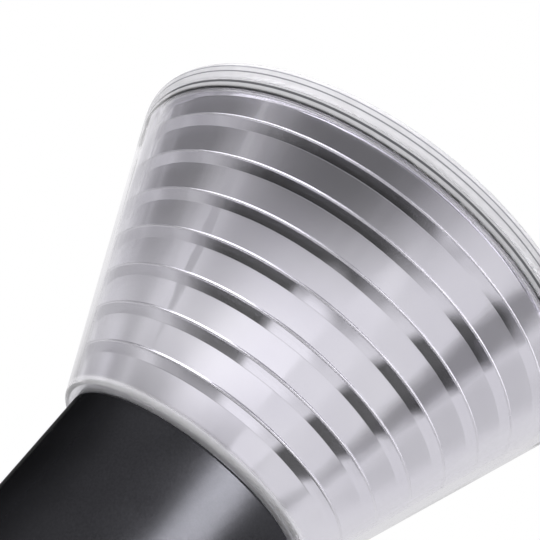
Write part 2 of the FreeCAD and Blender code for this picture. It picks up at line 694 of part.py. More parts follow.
def make_heat_sink():
    bore = f"({TUBE_BORE} - sink_gap)"
    shelf = head_z("-shoulder")
    top = head_z("board_height")
    slug_foot = f"({shelf} - sink_slug)"
    fin_foot = f"({slug_foot} - sink_fins)"
    body = turned_part("heat_sink", [
        ("0", fin_foot), (bore, fin_foot), (bore, shelf), (f"{SPIGOT_BORE} - sink_gap", shelf),
        (f"{SPIGOT_BORE} - sink_gap", top), ("0", top)])
    slot = pocket(body, "XY_Plane", [box_points("fin_core", "tube_radius", "-fin_slot / 2", "fin_slot / 2")],
                  "sink_fins", start=fin_foot, reverse=True)
    polar(body, slot, "fin_count")
    lead_y = "(driver_thickness / 2 + lead_radius)"
    pocket(body, "XY_Plane", [("lead_offset", lead_y, "lead_radius + lead_gap"),
                              ("-lead_offset", lead_y, "lead_radius + lead_gap")],
           "sink_fins + sink_slug + shoulder + board_height + 2", start=top)
    hole = pocket(body, "XY_Plane", [("0", SCREW_RING, "board_screw")],
                  "board_screw_depth + screw_run_out", start=top)
    polar(body, hole, "board_screw_count")
    on_head(body)

    foot = value(f"{DRIVER_TOP} - lead_foot")
    for side, name in ((1, "positive_lead"), (-1, "negative_lead")):
        lead = cylinder(name, "lead_radius", f"{top} - ({DRIVER_TOP} - lead_foot)")
        spot = Vector(side * value("lead_offset"), value(lead_y), foot)
        sub_part(on_head(lead, Placement(spot, Rotation())))


# ---------------------------------------------------------------- driver
CRADLE_FOOT = "(cap_neck - pivot_to_rear)"
DRIVER_FOOT = f"({CRADLE_FOOT} + cradle_floor)"
DRIVER_TOP = f"({DRIVER_FOOT} + driver_length)"


def make_driver():
    cradle = new_body("driver_cradle")
    pad(cradle, "XY_Plane", [("0", "0", f"{TUBE_BORE} - cradle_gap"), ("0", "0", "cradle_window")],
        "cradle_floor", start=CRADLE_FOOT)
    inner = "(driver_width / 2 - rail_grip)"
    outer = f"({inner} + rail_depth)"
    pad(cradle, "XY_Plane", [box_points(inner, outer, "-rail_half_width", "rail_half_width"),
                             box_points(f"-{outer}", f"-{inner}", "-rail_half_width", "rail_half_width")],
        "driver_length + cradle_floor / 2", start=f"{CRADLE_FOOT} + cradle_floor / 2")
    pocket(cradle, "XY_Plane", [box_points("-driver_width / 2", "driver_width / 2", "-driver_thickness / 2",
                                           "driver_thickness / 2")],
           "driver_length + 1", start=f"{DRIVER_TOP} + 1")
    on_head(cradle)

    half = "driver_width / 2"
    face = "driver_thickness / 2"
    board = block("driver_board", "driver_width", "driver_thickness", "driver_length")
    sub_part(on_head(board, Placement(Vector(-value(half), -value(face), value(DRIVER_FOOT)), Rotation())))

    stand = sideways(1)
    deck = value(face)
    low = value(f"{DRIVER_FOOT} + driver_row_low")
    high = value(f"{DRIVER_FOOT} + driver_row_high")
    side = value("driver_row_side")

    capacitor = turned_part("driver_capacitor", [
        ("0", "0"), ("capacitor_radius", "0"), ("capacitor_radius", "capacitor_height - capacitor_edge"),
        ("capacitor_radius - capacitor_edge", "capacitor_height"), ("0", "capacitor_height")])
    on_head(capacitor, Placement(Vector(-side, deck, low), stand))

    lip = "choke_lip"
    choke = turned_part("driver_choke", [
        ("0", "0"), ("choke_radius", "0"), ("choke_radius", lip), ("choke_radius - choke_waist", lip),
        ("choke_radius - choke_waist", f"choke_height - {lip}"), ("choke_radius", f"choke_height - {lip}"),
        ("choke_radius", "choke_height"), ("0", "choke_height")])
    on_head(choke, Placement(Vector(side, deck, low), stand))

    chip = block("driver_chip", "chip_length", "chip_width", "chip_height")
    corner = Vector(-value("chip_length") / 2, deck, high + value("chip_width") / 2)
    sub_part(on_head(chip, Placement(corner, stand)))

    terminal = new_body("driver_terminal")
    block_outline = box_points("-terminal_length / 2", "terminal_length / 2", "-terminal_width / 2",
                               "terminal_width / 2")
    pad(terminal, "XY_Plane", [block_outline], "terminal_height")
    pocket(terminal, "XZ_Plane", [("terminal_entry_side", "terminal_entry_height", "terminal_entry"),
                                  ("-terminal_entry_side", "terminal_entry_height", "terminal_entry")],
           "terminal_width", midplane=True)
    under = value(f"{DRIVER_FOOT} + terminal_width / 2 + terminal_inset")
    on_head(terminal, Placement(Vector(0, -deck, under), sideways(-1)))


# ---------------------------------------------------------------- rear cap
CAP_REAR = "(-pivot_to_rear - cap_flange)"


def make_rear_cap():
    bore = TUBE_BORE
    neck = f"({bore} - cap_neck_gap)"
    cap_bore = f"({bore} - cap_neck_wall)"
    rear = "(-pivot_to_rear)"
    tip = CRADLE_FOOT
    seal_mid = f"({tip} - ring_seal_from_end)"
    half = "(ring_seal_section + groove_gap)"
    floor = f"({bore} - 2 * ring_seal_section)"
    web = f"({CAP_REAR} + cap_web)"
    body = turned_part("rear_cap", [
        ("gland_thread + thread_gap", CAP_REAR), ("tube_radius - cap_edge", CAP_REAR),
        ("tube_radius", f"{CAP_REAR} + cap_edge"), ("tube_radius", rear), (neck, rear),
        (neck, f"{seal_mid} - {half}"), (floor, f"{seal_mid} - {half}"), (floor, f"{seal_mid} + {half}"),
        (neck, f"{seal_mid} + {half}"), (neck, tip), (cap_bore, tip), (cap_bore, web),
        ("gland_thread + thread_gap", web)])
    height = "cap_screw_from_rear - pivot_to_rear"
    hole = pocket(body, "YZ_Plane", [("0", height, "cap_screw")], "cap_screw_depth + 1",
                  start=f"{neck} + 1")
    polar(body, hole, "cap_screw_count")
    on_head(body)

    seal = doc.addObject("Part::Torus", "rear_o_ring")
    bind(seal, Radius1=f"{bore} - ring_seal_section", Radius2="ring_seal_section")
    sub_part(on_head(seal, Placement(Vector(0, 0, value(seal_mid)), Rotation())))

    screws = []
    for i in range(number("cap_screw_count")):
        shank = cylinder(f"cap_screw_shank_{i}", "cap_screw", "cap_screw_depth + cap_screw_head_depth")
        head = cylinder(f"cap_screw_head_{i}", "cap_screw_head", f"tube_wall + cap_neck_gap")
        socket = hexagon(f"cap_screw_socket_{i}", "cap_screw_head * socket_share", "cap_screw_head_depth")
        outward = Rotation(Vector(0, 0, 1), 360 / number("cap_screw_count") * i).multiply(
            Rotation(Vector(0, 1, 0), 90))
        level = value(height)
        for piece, reach in ((shank, f"{neck} - cap_screw_depth"), (head, neck),
                             (socket, "tube_radius - cap_screw_head_depth")):
            out = outward.multVec(Vector(0, 0, value(reach)))
            piece.Placement = Placement(out + Vector(0, 0, level), outward)
        whole = doc.addObject("Part::Fuse", f"cap_screw_blank_{i}")
        whole.Base = shank
        whole.Tool = head
        screws.append(cut(f"cap_screw_{i}", whole, [socket]))
    on_head(group("cap_screws", screws))


# ---------------------------------------------------------------- cable gland
def make_gland():
    web = f"({CAP_REAR} + cap_web)"
    washer_foot = f"({CAP_REAR} - gland_washer_height)"
    hex_foot = f"({washer_foot} - gland_hex_height)"
    male_foot = f"({hex_foot} - gland_male_length)"
    thread_top = f"({web} + locknut_height)"
    seal_foot = f"({male_foot} - gland_seal_proud)"
    seal_top = f"({seal_foot} + gland_seal_length)"
    body = new_body("gland_body")
    revolve(body, [[
        ("gland_bore", thread_top), ("gland_thread", thread_top), ("gland_thread", hex_foot),
        ("gland_male_radius", hex_foot), ("gland_male_radius", male_foot),
        ("gland_seal_radius", male_foot), ("gland_seal_radius", seal_top), ("gland_bore", seal_top)]])
    flats = [(f"gland_hex_flat / cos(30) * cos({60 * i})", f"gland_hex_flat / cos(30) * sin({60 * i})")
             for i in range(6)]
    pad(body, "XY_Plane", [flats, ("0", "0", "gland_male_radius - gland_skirt")], "gland_hex_height",
        start=hex_foot)
    on_head(body)

    washer = new_body("gland_washer")
    pad(washer, "XY_Plane", [("0", "0", "gland_washer_radius"), ("0", "0", "gland_thread + thread_gap")],
        "gland_washer_height", start=washer_foot)
    on_head(washer)

    nut = cut("gland_locknut", hexagon("locknut_hex", "locknut_flat", "locknut_height"),
              [cylinder("locknut_thread", "gland_thread + thread_gap", "locknut_height")])
    sub_part(on_head(nut, Placement(Vector(0, 0, value(web)), Rotation())))

    on_head(turned_part("gland_seal", [
        ("cable_radius", seal_foot), ("gland_seal_radius", seal_foot), ("gland_seal_radius", seal_top),
        ("cable_radius", seal_top)]))

    nut_top = f"({hex_foot} - gland_nut_gap)"
    nut_foot = f"({seal_foot} - gland_nut_end)"
    cap = turned_part("gland_nut", [
        ("gland_nut_bore", nut_foot), ("gland_nut_radius - gland_nut_nose", nut_foot),
        ("gland_nut_radius", f"{nut_foot} + gland_nut_nose"), ("gland_nut_radius", nut_top),
        ("gland_male_radius + thread_gap", nut_top), ("gland_male_radius + thread_gap", seal_foot),
        ("gland_nut_bore", seal_foot)])
    flute = pocket(cap, "XY_Plane", [("gland_nut_flute_reach", "0", "gland_nut_flute")],
                   f"{nut_top} - {nut_foot} - gland_nut_nose", start=nut_top)
    polar(cap, flute, "gland_nut_flute_count")
    on_head(cap)


make_base()
make_yoke()
make_knobs()
make_collar()
make_tube()
make_shade()
make_reflector()
make_light_engine()
make_heat_sink()
make_driver()
make_rear_cap()
make_gland()
doc.recompute()

for thing in doc.Objects:
    if "Invalid" in thing.State or "Error" in thing.State:
        raise RuntimeError(f"{thing.Label} failed: {thing.State}")

os.makedirs("parts", exist_ok=True)
for old in os.listdir("parts"):
    os.remove(os.path.join("parts", old))
for thing in PARTS:
    shape = thing.Shape
    if shape.isNull() or not shape.isValid() or not shape.Solids:
        raise RuntimeError(f"{thing.Label} is not a valid solid")
    shape.exportStep(os.path.join("parts", thing.Label + ".step"))
    print(f"{thing.Label}: {len(shape.Solids)} solids, {shape.Volume / 1000:.2f} cm3")
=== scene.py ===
"""Studio look of a submersible pond light: clear shade over a ribbed mirror, black tube, yoke and base."""
import json
import math

import bmesh
import bpy
from mathutils import Matrix, Vector


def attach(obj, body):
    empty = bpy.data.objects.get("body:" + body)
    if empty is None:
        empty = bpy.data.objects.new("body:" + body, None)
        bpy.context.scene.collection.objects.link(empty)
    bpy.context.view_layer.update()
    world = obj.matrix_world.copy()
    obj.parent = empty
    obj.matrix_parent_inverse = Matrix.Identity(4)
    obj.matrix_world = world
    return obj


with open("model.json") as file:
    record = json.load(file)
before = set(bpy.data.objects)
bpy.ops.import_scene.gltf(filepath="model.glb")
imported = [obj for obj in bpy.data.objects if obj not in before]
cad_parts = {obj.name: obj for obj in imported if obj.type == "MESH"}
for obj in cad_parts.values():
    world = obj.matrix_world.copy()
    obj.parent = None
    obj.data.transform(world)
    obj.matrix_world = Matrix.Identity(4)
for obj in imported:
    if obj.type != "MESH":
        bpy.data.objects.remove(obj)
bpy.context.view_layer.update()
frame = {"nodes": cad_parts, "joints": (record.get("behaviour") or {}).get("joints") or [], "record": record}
NODES = frame["nodes"]
MOUNTS = {m["name"]: m for m in frame["record"]["mounts"]}
JOINTS = {j["name"]: j for j in frame["joints"]}

# The head's own axes: +Z is the way it shines, Y is the tilt pivot, and the origin is on the pivot.
PIVOT = Vector(JOINTS["tilt"]["pos_m"])
BEAM = -Vector(MOUNTS["cable_inlet"]["axis"]).normalized()
TILT = math.atan2(BEAM.x, BEAM.z)
HEAD = Matrix.Translation(PIVOT) @ Matrix.Rotation(TILT, 4, "Y")
MM = 0.001


def link(thing):
    bpy.context.scene.collection.objects.link(thing)
    return thing


def head_span(node):
    """Lowest and highest place of a node along the head's axis."""
    reach = [(v.co - PIVOT).dot(BEAM) for v in NODES[node].data.vertices]
    return min(reach), max(reach)


SHADE_FOOT, RIM_FOOT = head_span("flared_shade")

# ---------------------------------------------------------------- camera
VIEW_FORWARD = Vector((0.6166, 0.7873, 0)).normalized()
VIEW_RIGHT = VIEW_FORWARD.cross(Vector((0, 0, 1)))
CAMERA_TURN = math.atan2(-VIEW_FORWARD.y, -VIEW_FORWARD.x)
AIM_PAST_SHADE_FOOT = 27.9 * MM
CAMERA_BACK = 257.2 * MM
CAMERA_UP = 20.1 * MM
CAMERA_RIGHT = 0.3 * MM
CAMERA_LENS = 89.48


def make_camera():
    data = bpy.data.cameras.new("camera")
    data.lens = CAMERA_LENS
    data.clip_start = 0.01
    camera = link(bpy.data.objects.new("camera", data))
    aim = PIVOT + BEAM * (SHADE_FOOT + AIM_PAST_SHADE_FOOT)
    camera.location = (aim - VIEW_FORWARD * CAMERA_BACK + Vector((0, 0, CAMERA_UP))
                       + VIEW_RIGHT * CAMERA_RIGHT)
    camera.rotation_mode = "QUATERNION"
    camera.rotation_quaternion = VIEW_FORWARD.to_track_quat("-Z", "Y")
    bpy.context.scene.camera = camera


# ---------------------------------------------------------------- node helpers
class Graph:
    """A short way to write a node tree."""

    def __init__(self, tree):
        self.tree = tree
        tree.nodes.clear()

    def node(self, kind, inputs=None, **settings):
        made = self.tree.nodes.new(kind)
        for name, setting in settings.items():
            setattr(made, name, setting)
        for name, source in (inputs or {}).items():
            self.feed(made.inputs[name], source)
        return made

    def feed(self, socket, source):
        if isinstance(source, bpy.types.NodeSocket):
            self.tree.links.new(source, socket)
        elif isinstance(source, bpy.types.Node):
            self.tree.links.new(source.outputs[0], socket)
        else:
            socket.default_value = source

    def math(self, operation, first, second=0.0):
        made = self.node("ShaderNodeMath", operation=operation)
        self.feed(made.inputs[0], first)
        self.feed(made.inputs[1], second)
        return made.outputs[0]

    def vector(self, operation, first, second):
        made = self.node("ShaderNodeVectorMath", operation=operation)
        self.feed(made.inputs[0], first)
        self.feed(made.inputs[1], second)
        return made.outputs[0]

    def remap(self, value, low, high, to_low, to_high, smooth=False):
        made = self.node("ShaderNodeMapRange", {"Value": value, "From Min": low, "From Max": high,
                                                "To Min": to_low, "To Max": to_high})
        made.interpolation_type = "SMOOTHSTEP" if smooth else "LINEAR"
        return made.outputs[0]

    def mix(self, fac, first, second):
        made = self.node("ShaderNodeMix", data_type="RGBA")
        for name, source in (("Factor", fac), ("A", first), ("B", second)):
            socket = [i for i in made.inputs if i.name == name and i.enabled][-1]
            self.feed(socket, (*source, 1) if isinstance(source, tuple) else source)
        return [o for o in made.outputs if o.enabled][-1]

    def noise(self, coords, scale, detail=3.0, rough=0.5, distortion=0.0):
        return self.node("ShaderNodeTexNoise", {"Vector": coords, "Scale": scale, "Detail": detail,
                                                "Roughness": rough, "Distortion": distortion}).outputs[0]


def new_material(name):
    made = bpy.data.materials.new(name)
    made.use_nodes = True
    return made, Graph(made.node_tree)


def surface(graph, principled, height, strength, distance):
    """Joins a Principled shader to the output, with a bump."""
    relief = graph.node("ShaderNodeBump", {"Height": height, "Strength": strength, "Distance": distance})
    graph.feed(principled.inputs["Normal"], relief)
    graph.node("ShaderNodeOutputMaterial", {"Surface": principled})


def place_coords(graph):
    """Where a point of the surface is, in the lamp's own frame, in metres."""
    return graph.node("ShaderNodeTexCoord").outputs["Object"]


def head_coords(graph):
    """Where a point of the surface is on the head's own axes, in metres, and its height along the head."""
    from_pivot = graph.vector("SUBTRACT", place_coords(graph), tuple(PIVOT))
    turned = graph.node("ShaderNodeVectorRotate", {"Vector": from_pivot, "Angle": -TILT},
                        rotation_type="Y_AXIS").outputs[0]
    return turned, graph.node("ShaderNodeSeparateXYZ", {"Vector": turned}).outputs["Z"]


# ---------------------------------------------------------------- materials
# Dyed aluminium mirrors little, and hardly brightens where it is seen edge on.
DYED_ALUMINIUM = {"Metallic": 0.6, "Specular IOR Level": 0.0, "Specular Tint": (0.25, 0.25, 0.25, 1)}
PALE_BLACK = 2.2


def satin_black(name, base, roughness, grain, depth, finish=None):
    """Black finish with a fine grain, paler in places; finish sets more of the shader's sockets."""
    made, g = new_material(name)
    place = place_coords(g)
    fine = g.noise(place, grain, 4.0, 0.6)
    broad = g.noise(place, 38.0, 2.0)
    tone = g.math("ADD", g.math("MULTIPLY", broad, 0.35), g.math("MULTIPLY", fine, 0.25))
    pale = tuple(c * PALE_BLACK for c in base)
    colour = g.mix(g.remap(tone, 0.2, 0.42, 0, 1), base, pale)
    rough = g.remap(broad, 0.35, 0.65, roughness - 0.04, roughness + 0.04)
    shader = g.node("ShaderNodeBsdfPrincipled", {"Base Color": colour, "Roughness": rough, **(finish or {})})
    surface(g, shader, fine, 0.35, depth)
    return made


SHADE_MILKY_ENDS = ((SHADE_FOOT + 1.5 * MM, SHADE_FOOT + 0.9 * MM, 0.38),
                    (RIM_FOOT - 1.9 * MM, RIM_FOOT - 1.4 * MM, 0.45))
SHADE_LINES = ((RIM_FOOT - 0.8 * MM, 0.3 * MM, 0.1),)
RIM_MILKY_ENDS = ((RIM_FOOT - 1 * MM, RIM_FOOT, 0.6),)
RIM_LINES = ((RIM_FOOT + 1 * MM, 0.17 * MM, 0.24),
             (RIM_FOOT + 1.9 * MM, 0.17 * MM, 0.3))


def clear_plastic(name, milky_ends, lines):
    """Clear moulded polycarbonate: faint waviness and a trace of haze, and milkier where it is bonded.

    Each milky end is a clear height, a milky height and how milky it is there. Each fine line round the
    outside has its height, half its width and its grey tone; light inside the plastic passes it by.
    """
    made, g = new_material(name)
    place = place_coords(g)
    wave = g.noise(place, 42.0, 1.0)
    haze = g.noise(place, 260.0, 3.0)
    rough = g.remap(haze, 0.45, 0.75, 0.015, 0.05)
    height = head_coords(g)[1]
    milk = 0.0
    for clear_at, milky_at, share in milky_ends:
        milk = g.math("ADD", milk, g.remap(height, clear_at, milky_at, 0, share, smooth=True))
    clear = g.math("SUBTRACT", 1.0, g.math("MULTIPLY", milk, g.remap(haze, 0.3, 0.7, 0.9, 1.0)))
    colour = g.mix(clear, (0.9, 0.89, 0.93), (0.975, 0.97, 0.99))
    outside = g.math("SUBTRACT", 1.0, g.node("ShaderNodeNewGeometry").outputs["Backfacing"])
    for line_at, half_width, tone in lines:
        away = g.math("ABSOLUTE", g.math("SUBTRACT", height, line_at))
        share = g.math("MULTIPLY", outside, g.remap(away, half_width / 2, half_width, 1, 0, smooth=True))
        colour = g.mix(share, colour, (tone, tone, tone * 1.08))
        clear = g.math("MULTIPLY", clear, g.math("SUBTRACT", 1.0, share))
    shader = g.node("ShaderNodeBsdfPrincipled", {"Base Color": colour, "Roughness": rough, "IOR": 1.5,
                                                 "Transmission Weight": clear})
    surface(g, shader, wave, 0.02, 0.2 * MM)
    return made


def window_glass(name):
    """Clear glass or silicone with faint smears."""
    made, g = new_material(name)
    place = place_coords(g)
    wave = g.noise(place, 30.0, 1.0)
    smear = g.noise(place, 120.0, 4.0, 0.6, 0.6)
    rough = g.remap(smear, 0.5, 0.8, 0.0, 0.04)
    shader = g.node("ShaderNodeBsdfPrincipled", {"Base Color": (0.97, 0.985, 0.98, 1), "Roughness": rough,
                                                 "IOR": 1.45, "Transmission Weight": 1.0})
    surface(g, shader, wave, 0.05, 0.4 * MM)
    return made


def mirror_metal(name):
    """Bright dipped aluminium: fine rings from spinning, and a faint cloud in its tone."""
    made, g = new_material(name)
    turned, height = head_coords(g)
    rings = g.node("ShaderNodeTexNoise", {"W": height, "Scale": 3500.0, "Detail": 2.0},
                   noise_dimensions="1D").outputs[0]
    cloud = g.noise(turned, 55.0, 3.0)
    colour = g.mix(g.remap(cloud, 0.3, 0.7, 0, 1), (0.86, 0.85, 0.895), (0.93, 0.925, 0.95))
    rough = g.math("ADD", g.remap(cloud, 0.3, 0.7, 0.015, 0.04), g.math("MULTIPLY", rings, 0.01))
    shader = g.node("ShaderNodeBsdfPrincipled", {"Base Color": colour, "Metallic": 1.0, "Roughness": rough})
    surface(g, shader, rings, 0.006, 0.02 * MM)
    return made


def bright_bead(name):
    """The burnished crest of a rib."""
    made, g = new_material(name)
    worn = g.noise(head_coords(g)[0], 160.0, 3.0)
    colour = g.mix(g.remap(worn, 0.35, 0.7, 0, 1), (0.97, 0.965, 0.985), (0.9, 0.89, 0.92))
    rough = g.remap(worn, 0.3, 0.7, 0.2, 0.28)
    shader = g.node("ShaderNodeBsdfPrincipled", {"Base Color": colour, "Metallic": 1.0, "Roughness": rough})
    surface(g, shader, worn, 0.05, 0.02 * MM)
    return made


def steel(name, base=(0.6, 0.6, 0.58), roughness=0.28):
    """Bare metal with fine turning marks and a faint stain."""
    made, g = new_material(name)
    place = place_coords(g)
    streak = g.noise(g.vector("MULTIPLY", place, (900.0, 900.0, 5200.0)), 1.0, 2.0)
    stain = g.noise(place, 240.0, 3.0)
    stained = tuple(c * 0.82 for c in base)
    colour = g.mix(g.remap(stain, 0.4, 0.7, 0, 1), base, stained)
    rough = g.remap(streak, 0.3, 0.7, roughness - 0.06, roughness + 0.08)
    shader = g.node("ShaderNodeBsdfPrincipled", {"Base Color": colour, "Metallic": 1.0, "Roughness": rough})
    surface(g, shader, streak, 0.15, 0.03 * MM)
    return made


def moulded(name, base, roughness=0.45, grain=1400.0):
    """Plain moulded plastic or rubber with a fine skin."""
    made, g = new_material(name)
    place = place_coords(g)
    skin = g.noise(place, grain, 2.0)
    broad = g.noise(place, 90.0, 2.0)
    darker = tuple(c * 0.8 for c in base)
    colour = g.mix(g.remap(broad, 0.3, 0.7, 0, 1), base, darker)
    rough = g.remap(skin, 0.3, 0.7, roughness - 0.05, roughness + 0.05)
    shader = g.node("ShaderNodeBsdfPrincipled", {"Base Color": colour, "Roughness": rough})
    surface(g, shader, skin, 0.3, 0.04 * MM)
    return made


def dress(material, *names):
    for name in names:
        slots = NODES[name].data.materials
        slots.clear()
        slots.append(material)


BLACK_BODY = ("housing_tube", "rear_cap", "mounting_collar")


def dress_all():
    tube = satin_black("tube_black", (0.005, 0.005, 0.0056), 0.33, 2600.0, 0.03 * MM, DYED_ALUMINIUM)
    dress(tube, *BLACK_BODY)
    dress(satin_black("cast_black", (0.014, 0.014, 0.015), 0.55, 900.0, 0.12 * MM), "base_plate")
    dress(satin_black("bracket_black", (0.013, 0.013, 0.014), 0.48, 1300.0, 0.07 * MM), "yoke")
    dress(satin_black("knob_black", (0.012, 0.012, 0.013), 0.5, 2200.0, 0.05 * MM), "tilt_knob_left",
          "tilt_knob_right", "gland_nut", "gland_body", "gland_locknut")
    dress(steel("stainless"), "pan_washer", "pan_bolt", "pan_nut", "tilt_washer_inner_left",
          "tilt_washer_outer_left", "tilt_washer_inner_right", "tilt_washer_outer_right",
          "tilt_stud_left", "tilt_stud_right", "collar_screw", "collar_nut", "board_screws", "cap_screws")
    dress(clear_plastic("clear_polycarbonate", SHADE_MILKY_ENDS, SHADE_LINES), "flared_shade")
    dress(clear_plastic("rim_polycarbonate", RIM_MILKY_ENDS, RIM_LINES), "rim_ring")
    dress(window_glass("front_window"), "front_glass")
    dress(mirror_metal("reflector_mirror"), "reflector")
    dress(moulded("rubber_black", (0.02, 0.02, 0.02), 0.55), "rear_o_ring", "gland_seal",
          "gland_washer", "base_pad")
    dress(moulded("silicone_clear", (0.72, 0.73, 0.74), 0.3), "throat_seal")
    dress(moulded("silicone_grey", (0.3, 0.3, 0.32), 0.35), "front_gasket")
    dress(moulded("acetal", (0.72, 0.72, 0.69)), "swivel_disc", "driver_cradle")
    dress(moulded("ring_black", (0.025, 0.025, 0.027), 0.4), "retaining_ring")
    dress(moulded("board_white", (0.8, 0.8, 0.78), 0.3), "led_board")
    dress(moulded("emitter_case", (0.75, 0.74, 0.7), 0.35), "led_emitters")
    dress(window_glass("dome_silicone"), "led_domes")
    dress(steel("machined_aluminium", (0.75, 0.75, 0.77), 0.3), "heat_sink")
    dress(moulded("wire_red", (0.5, 0.02, 0.015)), "positive_lead")
    dress(moulded("wire_black", (0.02, 0.02, 0.02)), "negative_lead")
    dress(moulded("board_green", (0.02, 0.16, 0.06), 0.3), "driver_board")
    dress(moulded("capacitor_sleeve", (0.02, 0.025, 0.09), 0.3), "driver_capacitor")
    dress(moulded("ferrite", (0.05, 0.05, 0.055), 0.6), "driver_choke")
    dress(moulded("chip_black", (0.02, 0.02, 0.02), 0.4), "driver_chip")
    dress(moulded("terminal_green", (0.03, 0.25, 0.08), 0.4), "driver_terminal")


# ---------------------------------------------------------------- rounded edges
# In degrees: faces that turn by less than the first are one face, and edges sharper than the others are
# rounded, the last one on the mirror.
FACET_TURN = 0.6
EDGE_TURN = 32
RIB_TURN = 12
WELD_REACH = 0.001 * MM
BEVEL_SEGMENTS = 3
EDGE_RADII = {
    0.03 * MM: ("reflector",),
    0.25 * MM: ("flared_shade", "rim_ring"),
    0.2 * MM: ("front_glass", "housing_tube", "rear_cap", "mounting_collar", "retaining_ring"),
    0.4 * MM: ("yoke", "base_plate", "tilt_knob_left", "tilt_knob_right", "gland_nut"),
    0.15 * MM: ("pan_washer", "pan_bolt", "tilt_washer_outer_left", "tilt_washer_outer_right",
                "tilt_washer_inner_left", "tilt_washer_inner_right", "collar_screw", "collar_nut",
                "swivel_disc", "gland_body", "board_screws", "cap_screws", "led_emitters"),
}


def round_edges():
    """Breaks the sharp edges that catch the light; the solids' own vertices stay where they are."""
    for radius, names in EDGE_RADII.items():
        for name in names:
            node = NODES[name]
            weld = node.modifiers.new("weld", "WELD")
            weld.merge_threshold = WELD_REACH
            flat = node.modifiers.new("flat_faces", "DECIMATE")
            flat.decimate_type = "DISSOLVE"
            flat.angle_limit = math.radians(FACET_TURN)
            bevel = node.modifiers.new("edges", "BEVEL")
            bevel.width = radius
            bevel.segments = BEVEL_SEGMENTS
            bevel.limit_method = "ANGLE"
            bevel.angle_limit = math.radians(RIB_TURN if name == "reflector" else EDGE_TURN)
            bevel.use_clamp_overlap = True
            normals = node.modifiers.new("normals", "WEIGHTED_NORMAL")
            normals.keep_sharp = False


# ---------------------------------------------------------------- crest beads and phosphor pads
def head_piece(name, build, material):
    """A piece made in the head's own axes, in metres."""
    mesh = bpy.data.meshes.new(name)
    bmesh.ops.transform(build, matrix=HEAD, verts=build.verts)
    build.to_mesh(mesh)
    build.free()
    mesh.shade_smooth()
    mesh.materials.append(material)
    piece = link(bpy.data.objects.new(name, mesh))
    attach(piece, "head")


SHADE_ANGLE = 24.16
SHADE_SLOPE = math.tan(math.radians(SHADE_ANGLE))
CREST_BAND = 0.1 * MM


def crest_rings():
    """Heights and radii of the mirror's rib crests along the head's axis, read from the solid."""
    proud = {}
    for vertex in NODES["reflector"].data.vertices:
        spot = vertex.co - PIVOT
        height = spot.dot(BEAM)
        radius = (spot - BEAM * height).length
        key = round(height / MM, 2)
        proud[key] = max(proud.get(key, (0, 0)), (radius - height * SHADE_SLOPE, radius))
    crest = max(above for above, radius in proud.values())
    return [(key * MM, radius) for key, (above, radius) in sorted(proud.items())
            if above > crest - CREST_BAND]


RING_TURNS = 192
RING_SIDES = 8


def ring_piece(name, height, radius, thickness, material):
    """A thin round ring about the head's axis, given its section's height, radius and half thickness."""
    build = bmesh.new()
    loops = []
    for i in range(RING_TURNS):
        a = 2 * math.pi * i / RING_TURNS
        out = Vector((math.cos(a), math.sin(a), 0))
        loops.append([build.verts.new(out * (radius + thickness * math.cos(b))
                                      + Vector((0, 0, height + thickness * math.sin(b))))
                      for b in (2 * math.pi * j / RING_SIDES for j in range(RING_SIDES))])
    for i in range(RING_TURNS):
        here, there = loops[i], loops[(i + 1) % RING_TURNS]
        for j in range(RING_SIDES):
            k = (j + 1) % RING_SIDES
            build.faces.new((here[j], there[j], there[k], here[k]))
    head_piece(name, build, material)


# The beads lie mostly in the crests, because the shade's wall is close to them.
BEAD_RADIUS = 0.25 * MM
BEAD_SINK = 0.19 * MM


def make_beads():
    """The thin bright bead that runs along each rib's crest."""
    bead_metal = bright_bead("bead_metal")
    for count, (height, radius) in enumerate(crest_rings(), start=1):
        ring_piece(f"rib_bead_{count}", height, radius - BEAD_SINK, BEAD_RADIUS, bead_metal)


DOMES_APART = 2.5 * MM
PHOSPHOR_SHARE = 0.55
PHOSPHOR_TAPER = 0.9
PHOSPHOR_HEIGHT = 0.12 * MM


def make_phosphor():
    """The yellow phosphor pad under each dome."""
    to_head = HEAD.inverted()
    spots = [to_head @ vertex.co for vertex in NODES["led_domes"].data.vertices]
    foot = min(spot.z for spot in spots)
    middles = []
    for spot in sorted(spots, key=lambda spot: -spot.z):
        flat = Vector((spot.x, spot.y))
        if all((flat - other).length > DOMES_APART for other in middles):
            middles.append(flat)
    reach = max(min((Vector((spot.x, spot.y)) - other).length for other in middles) for spot in spots)
    radius = reach * PHOSPHOR_SHARE
    phosphor = moulded("phosphor", (0.82, 0.62, 0.08), 0.6, 2400.0)
    for count, middle in enumerate(middles, start=1):
        build = bmesh.new()
        bmesh.ops.create_cone(build, cap_ends=True, segments=32, radius1=radius,
                              radius2=radius * PHOSPHOR_TAPER, depth=PHOSPHOR_HEIGHT)
        bmesh.ops.translate(build, verts=build.verts, vec=(*middle, foot + PHOSPHOR_HEIGHT / 2))
        head_piece(f"phosphor_{count}", build, phosphor)


# ---------------------------------------------------------------- studio
FLOOR_RADIUS = 0.56
FLOOR_FADE_FROM = 0.22


